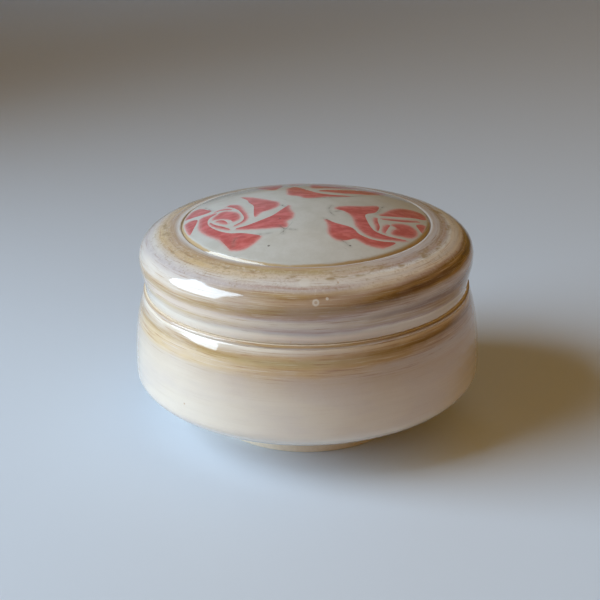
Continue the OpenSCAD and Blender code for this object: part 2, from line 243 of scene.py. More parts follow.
def lid_profile(s):
    """The lid from the middle of its hollow, down round the flange, out along the seat, up the
    outside to the ridge, and down into the pocket that holds the panel."""
    rim_z, edge = s.rim_height, s.rim_radius - s.lid_inset
    lid, belly = s.lid_radius, s.lid_belly
    panel, groove = s.panel_radius, s.groove
    panel_z = s.panel_top - s.dome_rise
    shoulder = panel_z - rim_z
    wall, flange_w, depth = s.lid_wall, s.flange_wall, s.flange_depth
    flange = s.rim_radius - s.bowl_wall - s.flange_gap
    flange_in, half, soft = flange - flange_w, flange_w / 2, 0.8
    radius, centre = dome_radius(s)
    roof = radius - s.panel_thickness - wall
    turn = math.degrees(math.asin((panel - wall) / roof))
    out = np.array([math.sin(math.radians(turn)), math.cos(math.radians(turn))])
    roof_end = np.array([0, centre]) + roof * out
    ridge = np.array([panel + (lid - panel) * 0.28, panel_z - 1])
    seat_turn = math.degrees(math.asin(panel / (radius - s.panel_thickness)))
    o = Outline()
    o.add(arc([0, centre], roof, 90, 90 - turn, 20), inside=1)
    o.add(curve(roof_end, roof_end + (lid - panel) * 0.85 * np.array([out[1], -out[0]]),
                [lid - wall + 0.5, rim_z + belly], [flange_in, rim_z + half], 24), inside=1)
    o.add(line([flange_in, rim_z + half], [flange_in, rim_z - depth + half], 0.8), inside=1,
          bare=0.4)
    o.add(arc([flange_in + half, rim_z - depth + half], half, 180, 360, 14), inside=1, bare=1)
    o.add(line([flange, rim_z - depth + half], [flange, rim_z], 0.8), inside=1, bare=1)
    o.add(line([flange, rim_z], [edge - soft, rim_z], 0.6), inside=1, bare=1)
    o.add(arc([edge - soft, rim_z + soft], soft, -90, 0, 8), bare=0.1)
    o.add(curve([edge, rim_z + soft], [edge, rim_z + belly * 0.4],
                [lid, rim_z + belly * 0.65], [lid, rim_z + belly], 30))
    o.add(curve([lid, rim_z + belly], [lid, rim_z + belly + (shoulder - belly) * 0.5],
                [panel + (lid - panel) * 0.75, panel_z - 2.4], ridge, 44))
    o.add(curve(ridge, ridge + [-(lid - panel) * 0.08, 0.5],
                [panel + groove + 0.2, panel_z - 0.3],
                [panel + groove / 2, panel_z - groove / 2], 14))
    o.add(line([panel + groove / 2, panel_z - groove / 2], [panel, panel_z - groove], 0.2))
    seat = np.array([0, centre]) + (radius - s.panel_thickness) * np.array(
        [math.sin(math.radians(seat_turn)), math.cos(math.radians(seat_turn))])
    o.add(line([panel, panel_z - groove], seat, 0.8), inside=1)
    o.add(arc([0, centre], radius - s.panel_thickness, 90 - seat_turn, 90, 16), inside=1)
    o.add(np.array([[0, centre + radius - s.panel_thickness]]), inside=1)
    return o.arrays()


def arc_length(points, start):
    """Distance along a profile from its point number start, less than nothing before it."""
    steps = np.linalg.norm(np.diff(points, axis=0), axis=1)
    travelled = np.concatenate([[0], np.cumsum(steps)])
    return travelled - travelled[start]


# ---- meshes ----


def new_piece(name, vertices, triangles, body, replaces, attributes):
    """A mesh object at the origin from arrays in millimetres, which rides on a body."""
    mesh = bpy.data.meshes.new(name)
    mesh.vertices.add(len(vertices))
    mesh.vertices.foreach_set("co", (vertices * MM).astype(np.float32).ravel())
    mesh.loops.add(triangles.size)
    mesh.loops.foreach_set("vertex_index", triangles.astype(np.int32).ravel())
    mesh.polygons.add(len(triangles))
    mesh.polygons.foreach_set("loop_start", np.arange(len(triangles), dtype=np.int32) * 3)
    mesh.polygons.foreach_set("use_smooth", np.ones(len(triangles), bool))
    mesh.update(calc_edges=True)
    mesh.validate()
    for key, values in attributes.items():
        layer = mesh.attributes.new(key, "FLOAT", "POINT")
        layer.data.foreach_set("value", values.astype(np.float32))
    piece = bpy.data.objects.new(name, mesh)
    bpy.context.scene.collection.objects.link(piece)
    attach(piece, body)
    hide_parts(*replaces)
    return piece


def throwing_rings(along, angle, height):
    """How far the surface lies inside its profile, as numbers below nothing: three sine rings of
    different pitch and a slow sway, each drifting with the angle as a potter's fingers do."""
    drift = 0.5 * np.sin(angle) + 0.3 * np.sin(2 * angle + 1)
    rings = (np.sin(2 * np.pi * (along + drift) / 2.6)
             + 0.8 * np.sin(2 * np.pi * (along - 0.6 * drift) / 4.3 + 1)
             + 0.5 * np.sin(2 * np.pi * (along + 0.4 * drift) / 1.3 + 2))
    sway = np.sin(2 * angle + 0.15 * along) + 0.6 * np.sin(3 * angle - 0.1 * along + 2)
    return height * (0.5 * rings + sway - 2.75)


def turned(points, segments, proud):
    """A closed surface of revolution. Its two parameters are the place along the profile and
    the angle; proud gives how far each grid point is moved out along the profile's normal."""
    tangent = np.gradient(points, axis=0)
    tangent /= np.linalg.norm(tangent, axis=1)[:, None]
    normal = np.stack([tangent[:, 1], -tangent[:, 0]], 1)
    angle = 2 * np.pi * np.arange(segments) / segments
    offset = proud(angle[None, :])
    radius = points[:, 0, None] + offset * normal[:, 0, None]
    height = points[:, 1, None] + offset * normal[:, 1, None]
    grid = np.stack([radius * np.cos(angle), radius * np.sin(angle), height], 2)
    rows, inner = len(points), grid[1:-1].reshape(-1, 3)
    poles = np.array([[0, 0, points[0, 1]], [0, 0, points[-1, 1]]])
    vertices = np.concatenate([inner, poles])
    i, j = np.meshgrid(np.arange(rows - 3), np.arange(segments), indexing="ij")
    k = (j + 1) % segments
    a, b = i * segments + j, i * segments + k
    c, d = (i + 1) * segments + k, (i + 1) * segments + j
    sides = np.concatenate([np.stack([a, b, c], -1).reshape(-1, 3),
                            np.stack([a, c, d], -1).reshape(-1, 3)])
    j = np.arange(segments)
    k = (j + 1) % segments
    last = (rows - 3) * segments
    low = np.stack([np.full(segments, len(inner)), k, j], 1)
    high = np.stack([np.full(segments, len(inner) + 1), last + j, last + k], 1)
    return vertices, np.concatenate([sides, low, high])


def per_vertex(values, segments):
    """A value for each profile point, repeated round the turned surface."""
    return np.concatenate([np.repeat(values[1:-1], segments), [values[0], values[-1]]])


def make_thrown(name, profile, along, segments, s, material):
    """A thrown piece from its profile, with its glaze coordinates: the place along the profile
    in millimetres, and how far the clay is inside and bare. Its throwing rings die out towards
    what is inside or bare."""
    points, inside, bare = profile
    still = np.clip(inside + bare, 0, 1)
    quiet = np.clip(1 - 2 * np.convolve(still, np.ones(5) / 5, mode="same"), 0, 1)[:, None]
    vertices, triangles = turned(points, segments, lambda angle: quiet * throwing_rings(
        along[:, None], angle, s.ripple))
    values = {"along": along, "inside": inside, "bare": bare}
    piece = new_piece("thrown_" + name, vertices, triangles, name, [name],
                      {key: per_vertex(value, segments) for key, value in values.items()})
    piece.data.materials.append(material)


# ---- inlay: outlines in plan, and pieces of clay that follow the dome ----


def plan_outline(node, radius, centre):
    """The closed outline in plan of a CAD inlay piece: the edges that only one triangle of its
    domed top face uses, chained head to tail. Millimetres."""
    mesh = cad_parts[node].data
    mesh.calc_loop_triangles()
    co = np.zeros(len(mesh.vertices) * 3, np.float32)
    mesh.vertices.foreach_get("co", co)
    tri = np.zeros(len(mesh.loop_triangles) * 3, np.int32)
    mesh.loop_triangles.foreach_get("vertices", tri)
    co, tri = co.reshape(-1, 3).astype(float) / MM, tri.reshape(-1, 3)
    cells, index = np.unique(np.round(co, 3), axis=0, return_inverse=True)
    tri = index.reshape(-1)[tri]
    away = np.abs(np.linalg.norm(cells - [0, 0, centre], axis=1) - radius)
    p, q, r = (cells[tri[:, k]] for k in range(3))
    facing = np.cross(q - p, r - p)
    size = np.linalg.norm(facing, axis=1)
    top = (away[tri] < 0.01).all(1) & (size > 1e-9) & (facing[:, 2] > 0.7 * size)
    tri = tri[top]
    edges = np.concatenate([tri[:, [0, 1]], tri[:, [1, 2]], tri[:, [2, 0]]])
    codes = edges[:, 0] * len(cells) + edges[:, 1]
    back = edges[:, 1] * len(cells) + edges[:, 0]
    rim = edges[~np.isin(codes, back)]
    after = dict(rim.tolist())
    loops = []
    while after:
        first = next(iter(after))
        loop, here = [], first
        while here in after:
            loop.append(here)
            here = after.pop(here)
        loops.append(cells[loop][:, :2])
    return max(loops, key=enclosed)


def enclosed(loop):
    """The area inside a closed outline, less than nothing if it runs clockwise."""
    x, y = loop.T
    return 0.5 * float((x * np.roll(y, -1) - y * np.roll(x, -1)).sum())


def evened(loop, step=0.45):
    """A closed outline with its points evenly spaced along it."""
    ends = np.roll(loop, -1, axis=0)
    steps = np.linalg.norm(ends - loop, axis=1)
    travelled = np.concatenate([[0], np.cumsum(steps)])
    n = max(12, int(round(travelled[-1] / step)))
    t = travelled[-1] * np.arange(n) / n
    closed = np.concatenate([loop, loop[:1]])
    return np.stack([np.interp(t, travelled, closed[:, k]) for k in (0, 1)], 1)


def within(points, loops):
    """Whether each point is inside an odd number of the closed outlines."""
    crossings = np.zeros(len(points), int)
    x, y = points[:, 0, None], points[:, 1, None]
    for loop in loops:
        x0, y0 = loop[:, 0], loop[:, 1]
        x1, y1 = np.roll(x0, -1), np.roll(y0, -1)
        spans = (y0 > y) != (y1 > y)
        rise = np.where(y1 == y0, 1, y1 - y0)
        crossings += (spans & (x < (x1 - x0) * (y - y0) / rise + x0)).sum(1)
    return crossings % 2 == 1


def nearest_edge(points, loops):
    """The distance from each point to the nearest outline, and that outline's outward normal
    there. Every outline runs anticlockwise."""
    best = np.full(len(points), np.inf)
    normal = np.zeros((len(points), 2))
    for loop in loops:
        a, b = loop, np.roll(loop, -1, axis=0)
        d = b - a
        size = (d**2).sum(1)
        rel = points[:, None, :] - a
        t = np.clip((rel * d).sum(2) / size, 0, 1)
        away = np.linalg.norm(rel - t[:, :, None] * d, axis=2)
        k = away.argmin(1)
        gap = away[np.arange(len(points)), k]
        closer = gap < best
        best[closer] = gap[closer]
        out = np.stack([d[:, 1], -d[:, 0]], 1) / np.sqrt(size)[:, None]
        normal[closer] = out[k[closer]]
    return best, normal


def filled(outer, holes, spacing):
    """Triangles over all that lies within the outer outline, with every outline kept as edges
    and a triangular lattice of points between them."""
    loops = [outer] + holes
    low, high = outer.min(0), outer.max(0)
    rows = np.arange(low[1], high[1], spacing * math.sqrt(0.75))
    x = np.arange(low[0], high[0], spacing)
    lattice = np.stack(np.meshgrid(x, rows), -1)
    lattice[1::2, :, 0] += spacing / 2
    lattice = lattice.reshape(-1, 2)
    lattice = lattice[within(lattice, [outer])]
    lattice = lattice[nearest_edge(lattice, loops)[0] > spacing * 0.45]
    starts = np.cumsum([0] + [len(loop) for loop in loops])
    edges = [(int(s + i), int(s + (i + 1) % len(loop)))
             for s, loop in zip(starts, loops) for i in range(len(loop))]
    points = np.concatenate(loops + [lattice])
    found = delaunay_2d_cdt([Vector(p) for p in points], edges, [], 0, 1e-6)
    points = np.array([v[:] for v in found[0]])
    tri = np.array(found[2])
    return points, tri[within(points[tri].mean(1), [outer])]


def dome_height(points, s):
    """Height of the glazed dome over each point in plan: the sphere, sloping off into the
    groove at the panel's edge, with a slow swell a few hundredths high."""
    radius, centre = dome_radius(s)
    edge, groove = s.panel_radius, s.groove
    r = np.linalg.norm(points, axis=1)
    x, y = points.T
    swell = 0.03 * (np.sin(x / 4.1 + 0.7 * np.sin(y / 6)) * np.cos(y / 5.3 + 0.5) - 1)
    fall = np.clip((r - edge + groove * 1.4) / (groove * 1.4), 0, 1) ** 2 * groove
    return centre + np.sqrt(radius**2 - r**2) + swell * np.clip((edge - r) / 4, 0, 1) - fall


def dome_normal(points, s, step=0.05):
    """Unit normal of the glazed dome over each point, from its slope either side."""
    slope = [(dome_height(points + d, s) - dome_height(points - d, s)) / (2 * step)
             for d in (np.array([step, 0]), np.array([0, step]))]
    normal = np.stack([-slope[0], -slope[1], np.ones(len(points))], 1)
    return normal / np.linalg.norm(normal, axis=1)[:, None]


def clay_solid(outer, pockets, thickness, pocket_depth, s, spacing):
    """A closed slab of clay: the plan lifted onto the dome, and let down by pocket_depth in
    the pockets and by thickness underneath. Returns vertices, triangles, each vertex's place
    in plan, and how many triangles are on top, which come first."""
    plan, tri = filled(outer, pockets, spacing)
    n = len(plan)
    pocketed = within(plan[tri].mean(1), pockets) if pockets else np.zeros(len(tri), bool)
    top = dome_height(plan, s)[:, None]
    vertices = np.concatenate([np.concatenate([plan, top - drop], 1)
                               for drop in (0, pocket_depth, thickness)])

    def rims(faces):
        edges = np.concatenate([faces[:, [0, 1]], faces[:, [1, 2]], faces[:, [2, 0]]])
        forward = edges[:, 0] * n + edges[:, 1]
        return edges[~np.isin(forward, edges[:, 1] * n + edges[:, 0])]

    def wall(edges, upper, lower):
        a, b = edges.T
        return np.concatenate([np.stack([b + upper, a + upper, a + lower], 1),
                               np.stack([b + upper, a + lower, b + lower], 1)])

    outside = rims(tri)
    outer_edges = set(map(tuple, outside.tolist()))
    inner = [e for e in rims(tri[~pocketed]).tolist() if tuple(e) not in outer_edges]
    faces = [tri[~pocketed], tri[pocketed] + n, tri[:, ::-1] + 2 * n, wall(outside, 0, 2 * n)]
    if inner:
        faces.append(wall(np.array(inner), 0, n))
    faces = np.concatenate(faces)
    kept, index = np.unique(faces, return_inverse=True)
    return (vertices[kept], index.reshape(faces.shape), np.tile(plan, (3, 1))[kept],
            int((~pocketed).sum()))


def make_clay(name, outer, pockets, thickness, pocket_depth, s, spacing, attributes,
              material):
    """One piece of inlaid clay on the lid. Its top takes the glazed dome's own normals, so
    that neighbouring pieces share one unbroken gloss."""
    vertices, tri, plan, tops = clay_solid(outer, pockets, thickness, pocket_depth, s, spacing)
    piece = new_piece(name + "_clay", vertices, tri, "lid", [name], attributes(plan))
    p, q, r = (vertices[tri[:, k]] for k in range(3))
    flat = np.cross(q - p, r - p)
    flat /= np.maximum(np.linalg.norm(flat, axis=1), 1e-12)[:, None]
    normals = np.repeat(flat[:, None, :], 3, axis=1)
    normals[:tops] = dome_normal(plan, s)[tri[:tops]]
    piece.data.normals_split_custom_set(normals.reshape(-1, 3).tolist())
    piece.data.materials.append(material)
    return piece


# ---- materials ----


class Shading:
    """One material's node tree, with short calls for the nodes that the glazes use."""

    def __init__(self, name):
        self.material = bpy.data.materials.new(name)
        self.material.use_nodes = True
        self.tree = self.material.node_tree
        self.shader = self.tree.nodes["Principled BSDF"]

    def node(self, kind, inputs=(), **settings):
        made = self.tree.nodes.new("ShaderNode" + kind)
        for key, value in settings.items():
            setattr(made, key, value)
        for key, value in dict(inputs).items():
            if isinstance(value, bpy.types.NodeSocket):
                self.tree.links.new(value, made.inputs[key])
            else:
                made.inputs[key].default_value = value
        return made

    def attribute(self, name):
        return self.node("Attribute", attribute_name=name).outputs["Fac"]

    def place(self):
        return self.node("TexCoord").outputs["Object"]

    def math(self, operation, a, b=0.0, clamp=False):
        return self.node("Math", {0: a, 1: b}, operation=operation,
                         use_clamp=clamp).outputs[0]

    def times(self, a, b):
        return self.math("MULTIPLY", a, b)

    def plus(self, a, b, clamp=False):
        return self.math("ADD", a, b, clamp)

    def minus(self, a, b):
        return self.math("SUBTRACT", a, b)

    def offset(self, value, amount):
        """A noise's value, which is about a half, as an offset either way."""
        return self.times(self.minus(value, 0.5), amount)

    def vector(self, operation, a, b, output=0):
        return self.node("VectorMath", {0: a, 1: b}, operation=operation).outputs[output]

    def noise(self, where, scale, detail=3.0, rough=0.5):
        return self.node("TexNoise", {"Vector": where, "Scale": scale, "Detail": detail,
                                      "Roughness": rough}).outputs["Fac"]

    def between(self, value, low, high, start=0.0, end=1.0):
        """value from low to high, eased into start to end."""
        return self.node("MapRange", {"Value": value, "From Min": low, "From Max": high,
                                      "To Min": start, "To Max": end},
                         interpolation_type="SMOOTHSTEP").outputs["Result"]

    def window(self, value, rise, fall):
        """1 from the end of rise to the end of fall, eased over each pair."""
        return self.times(self.between(value, *rise), self.between(value, *fall))

    def dots(self, where, scale, outer, inner, bare_share):
        """Small dots, in all but bare_share of the cells of a scattered pattern."""
        cells = self.node("TexVoronoi", {"Vector": where, "Scale": scale}, feature="F1")
        seed = self.node("SeparateColor", {"Color": cells.outputs["Color"]}).outputs[0]
        return self.times(self.between(cells.outputs["Distance"], outer, inner),
                          self.math("GREATER_THAN", seed, bare_share))

    def mix(self, share, a, b, blend="MIX"):
        made = self.node("Mix", {}, data_type="RGBA", blend_type=blend)
        for key, value in ((0, share), (6, a), (7, b)):
            if isinstance(value, bpy.types.NodeSocket):
                self.tree.links.new(value, made.inputs[key])
            elif key == 0:
                made.inputs[0].default_value = value
            else:
                made.inputs[key].default_value = (*value, 1)
        return made.outputs[2]

    def bands(self, along, stops):
        """A colour by the distance along the profile, from (millimetres, colour) stops."""
        low, high = stops[0][0], stops[-1][0]
        share = self.node("MapRange", {"Value": along, "From Min": low,
                                       "From Max": high}).outputs["Result"]
        ramp = self.node("ValToRGB", {"Fac": share})
        elements = ramp.color_ramp.elements
        elements.remove(elements[1])
        for k, (at, shade) in enumerate(stops):
            element = elements.new((at - low) / (high - low)) if k else elements[0]
            element.color = (*shade, 1)
        return ramp.outputs["Color"]

    def bump(self, height, distance, strength=1.0):
        return self.node("Bump", {"Height": height, "Distance": distance,
                                  "Strength": strength}).outputs["Normal"]

    def finish(self, colour, roughness, normal, ior=1.5, coat=0.0):
        self.tree.links.new(colour, self.shader.inputs["Base Color"])
        self.tree.links.new(roughness, self.shader.inputs["Roughness"])
        self.tree.links.new(normal, self.shader.inputs["Normal"])
        self.shader.inputs["IOR"].default_value = ior
        self.shader.inputs["Coat Weight"].default_value = coat
        self.shader.inputs["Coat Roughness"].default_value = 0.02
        return self.material


GLAZE_IOR = 1.55

# the glaze's colours, sRGB: a separate program clustered them, and only the names are by hand
GLAZES = {"white": (238, 239, 239), "cream": (235, 223, 207), "oyster": (219, 211, 203),
          "peach": (230, 208, 186), "linen": (219, 203, 184), "pearl": (199, 191, 191),
          "sand": (211, 193, 173), "lilac": (196, 182, 174), "straw": (214, 187, 147),
          "blush": (197, 174, 151), "mauve": (184, 159, 148), "honey": (196, 165, 126),
          "wheat": (183, 161, 115), "fawn": (182, 153, 121), "ochre": (180, 148, 99),
          "caramel": (169, 132, 97), "brown": (159, 125, 77), "cocoa": (140, 108, 86),
          "olive": (134, 100, 47), "umber": (103, 66, 29)}

# bands of glaze by millimetres along the outside: round the left, the front and the right.
# Separate programs measured, fitted and thinned these rows, so they are not hand-chosen.
LID_BANDS = [
    [(0.0, "peach"), (1.4, "linen"), (2.8, "cream"), (3.6, "linen"), (5.4, "straw"),
     (6.6, "peach"), (7.5, "peach"), (9.4, "ochre"), (10.4, "honey"), (11.4, "sand"),
     (13.6, "oyster"), (16.2, "pearl"), (18.2, "oyster"), (20.4, "straw"), (21.6, "straw"),
     (23.5, "fawn"), (24.3, "fawn"), (26.2, "white"), (26.8, "mauve"), (27.6, "brown")],
    [(0.0, "peach"), (1.2, "blush"), (2.3, "peach"), (3.0, "linen"), (3.6, "lilac"),
     (4.4, "mauve"), (6.2, "linen"), (7.0, "sand"), (7.7, "mauve"), (8.5, "caramel"),
     (9.6, "brown"), (10.9, "brown"), (12.2, "fawn"), (13.1, "fawn"),
     (14.0, "brown"), (14.9, "ochre"), (16.4, "lilac"), (17.3, "mauve"), (18.2, "oyster"),
     (19.2, "oyster"), (21.6, "linen"), (23.8, "wheat"), (25.2, "honey"), (26.0, "lilac"),
     (26.7, "ochre"), (27.6, "ochre")],
    [(0.0, "sand"), (1.2, "linen"), (3.0, "linen"), (3.7, "cream"), (4.4, "mauve"), (5.4, "fawn"),
     (6.6, "caramel"), (7.8, "cocoa"), (8.6, "cocoa"), (10.8, "blush"), (12.4, "brown"),
     (13.2, "umber"), (14.1, "umber"), (14.6, "brown"), (15.5, "olive"),
     (16.2, "mauve"), (17.2, "cream"), (18.2, "oyster"), (19.6, "cream"), (20.4, "white"),
     (21.2, "pearl"), (22.0, "mauve"), (23.6, "pearl"), (24.6, "pearl"), (25.4, "lilac"),
     (26.2, "white"), (26.8, "fawn"), (27.6, "caramel")]]

BOWL_BANDS = [
    [(-0.6, "straw"), (0.4, "blush"), (1.7, "cream"), (2.4, "sand"), (4.4, "ochre"),
     (5.6, "straw"), (8.4, "straw"), (10.0, "sand"), (13.0, "linen"), (32.0, "cream"),
     (50.0, "linen")],
    [(-0.6, "fawn"), (0.1, "fawn"), (0.4, "ochre"), (0.8, "fawn"), (1.6, "cream"), (2.7, "sand"),
     (3.6, "honey"), (5.0, "wheat"), (6.8, "honey"), (7.8, "honey"), (10.5, "blush"),
     (16.0, "linen"), (32.0, "cream"), (50.0, "peach")],
    [(-0.6, "honey"), (0.1, "wheat"), (0.4, "umber"), (0.8, "honey"), (1.5, "linen"),
     (2.1, "straw"), (3.2, "brown"), (4.0, "olive"), (5.0, "fawn"), (6.5, "fawn"),
     (7.8, "lilac"), (10.5, "blush"), (17.0, "sand"), (25.0, "linen"), (32.0, "cream"),
     (50.0, "sand")]]


# cracks in the clay round the roses, and iron specks with their size, in plan, millimetres:
# placed by eye, then moved by a separate program to suit the height of the dome
CRACKS = [
    [(-7.2, -17.6), (-6.0, -19.3), (-4.6, -19.7), (-2.8, -20.2)],
    [(-13.0, -20.9), (-11.5, -21.2), (-9.6, -21.0)], [(-19.2, -21.1), (-19.6, -22.5),
                                                      (-19.7, -24.7)],
    [(-6.0, -19.5), (-6.2, -21.8)], [(7.3, -4.6), (6.6, -6.8), (6.8, -9.5), (7.8, -11.5)],
    [(8.1, -9.1), (9.5, -8.3)], [(22.5, 0.3), (21.5, -2.0), (20.9, -4.7), (19.8, -7.3)],
    [(9.4, -24.7), (10.6, -25.8), (11.6, -27.2)], [(1.8, 1.3), (6.9, 2.2), (13.2, 5.3),
                                                   (16.9, 8.2)],
    [(-29.6, 7.1), (-28.0, 3.4), (-26.8, 0.9)], [(-6.9, -3.7), (-6.3, -5.0), (-5.2, -5.2)],
    [(5.0, -13.7), (6.0, -14.6)]]
SPECKS = [(-10.0, -27.0, 0.45), (-6.6, -4.2, 0.4), (-7.2, -13.3, 0.35), (11.8, -27.0, 0.4),
          (5.8, -14.4, 0.3)]


def glaze(name, bands, c, places, flecks):
    """Glossy glaze in level bands that drift, streak and mottle, with other colours round the
    left, the front and the right. Places are millimetres along the profile: streaks come in
    over one pair, the glaze breaks into grains of white, lilac and ochre between the mottle's
    two, the drift dies out over calm, and the wide brown band climbs by so much from the front
    to the right. Flecks are white bubbles: centre, radius, and whether they are hollow."""
    m = Shading(name)
    where = m.place()
    direction = m.vector("NORMALIZE", m.vector("MULTIPLY", where, (1, 1, 0)), (0, 0, 0))
    along = m.attribute("along")
    upright = m.node("CombineXYZ", {"Z": m.times(along, 0.4)}).outputs[0]

    def streaks(turn, pitch, detail=4.0, rough=0.55):
        """Level streaks with no seam, from the direction off the axis and the place along."""
        wide = m.vector("MULTIPLY", direction, (turn, turn, turn))
        tall = m.vector("MULTIPLY", upright, (pitch, pitch, pitch))
        return m.noise(m.vector("ADD", wide, tall), 1.0, detail, rough)

    drift = m.plus(m.offset(streaks(1.6, 0.2, 2), 1.6), m.offset(streaks(9.0, 1.2, 3), 0.8))
    drift = m.plus(drift, m.offset(m.noise(where, 900.0, 3.0, 0.6), 0.2))
    shifted = m.plus(along, m.times(drift, m.window(along, (0.6, 2.6), places["calm"])))
    side = m.node("SeparateXYZ", {"Vector": direction}).outputs["X"]
    # the brown band stands higher round the right than at the front
    brown = m.window(along, (6.0, 9.0), (18.0, 15.0))
    rightward = m.times(brown, m.math("GREATER_THAN", side, 0.0))
    climbed = m.times(m.times(side, places["climb"] / 0.8), rightward)
    from_front = m.minus(shifted, climbed)
    from_right = m.plus(from_front, m.times(brown, places["climb"]))
    left, front, right = (
        m.bands(level, [(at, srgb(*GLAZES[shade])) for at, shade in stops])
        for level, stops in zip((shifted, from_front, from_right), bands))
    side = m.plus(side, m.offset(streaks(4.0, 0.5, 3), 0.5))
    base = m.mix(m.between(side, 0.0, 0.70), front, right)
    base = m.mix(m.between(side, -0.1, -0.75), base, left)
    # thin level streaks, lighter and darker, strongest among the bands
    fine = streaks(4.0, 7.5, 5, 0.6)
    banded = m.between(along, *places["streaks"], 0.12, 1.0)
    light = m.times(m.between(fine, 0.54, 0.66), banded)
    dark = m.times(m.between(fine, 0.46, 0.33), banded)
    base = m.mix(m.times(light, 0.32), base, c.glaze_white)
    base = m.mix(m.times(dark, 0.55), base, c.rust, "MULTIPLY")
    # soft lilac clouds
    haze = streaks(3.2, 0.5, 2, 0.5)
    base = m.mix(m.between(haze, 0.40, 0.66, 0.0, 0.14), base, c.lilac)
    # grains of white, lilac and ochre where the glaze broke
    start, end = places["mottle"]
    broken = m.window(along, (start - 1.5, start + 1.0), (end + 0.8, end - 0.8))
    grain = m.noise(where, 1150.0, 5.0, 0.68)
    cloud = streaks(9, 1.1, 3.0)
    milky = m.times(m.between(grain, 0.48, 0.64), m.between(cloud, 0.36, 0.60))
    milky = m.times(milky, m.plus(m.times(broken, 0.45), 0.04))
    base = m.mix(milky, base, c.glaze_white)
    dark = m.times(m.between(grain, 0.50, 0.34), m.between(cloud, 0.62, 0.40))
    dark = m.times(dark, m.plus(m.times(broken, 0.45), 0.03))
    base = m.mix(dark, base, m.mix(m.between(cloud, 0.45, 0.55), c.ochre, c.lilac))
    ring = m.window(shifted, (19.3, 20.8), (23.6, 22.4))
    blotch = m.times(m.between(cloud, 0.48, 0.66), m.times(ring, broken))
    base = m.mix(m.times(blotch, 0.75), base, c.ochre)
    # the inside is plain white glaze, and the seats and the foot are bare
    inside, bare = m.attribute("inside"), m.attribute("bare")
    plain_white = m.mix(m.between(m.noise(where, 70.0), 0.35, 0.7), c.glaze_white, c.slice_clay)
    base = m.mix(inside, base, plain_white)
    chalky = m.mix(m.between(m.noise(where, 900.0, 5.0, 0.7), 0.3, 0.7), c.bare_clay,
                   tuple(0.88 * v for v in c.bare_clay))
    base = m.mix(bare, base, chalky)
    lift = m.times(milky, 0.06)
    for centre, radius, hollow in flecks:
        gap = m.vector("DISTANCE", where, tuple(v * MM for v in centre), "Value")
        ragged = m.plus(gap, m.offset(grain, radius * 0.6 * MM))
        spot = m.between(ragged, radius * MM, radius * 0.6 * MM)
        if hollow:
            pit = m.between(gap, radius * 0.30 * MM, radius * 0.5 * MM)
            spot = m.times(spot, m.plus(m.times(pit, 0.7), 0.3))
        base = m.mix(m.times(spot, 0.7), base, c.glaze_white)
        lift = m.plus(lift, m.times(spot, 0.3))
    # a gently swelling skin, with a few pinholes
    skin = m.plus(m.times(m.noise(where, 230.0, 1.0, 0.3), 0.14),
                  m.times(streaks(2.5, 1.6, 1.0, 0.3), 0.2))
    pinhole = m.dots(where, 240.0, 0.10, 0.05, 0.95)
    base = m.mix(m.times(pinhole, 0.5), base, c.rust)
    height = m.minus(m.plus(skin, lift), m.times(pinhole, 0.6))
    roughness = m.plus(m.times(bare, 0.5), m.between(grain, 0.3, 0.7, 0.05, 0.12))
    return m.finish(base, roughness, m.bump(height, 0.00012, 0.8), GLAZE_IOR, 0.6)


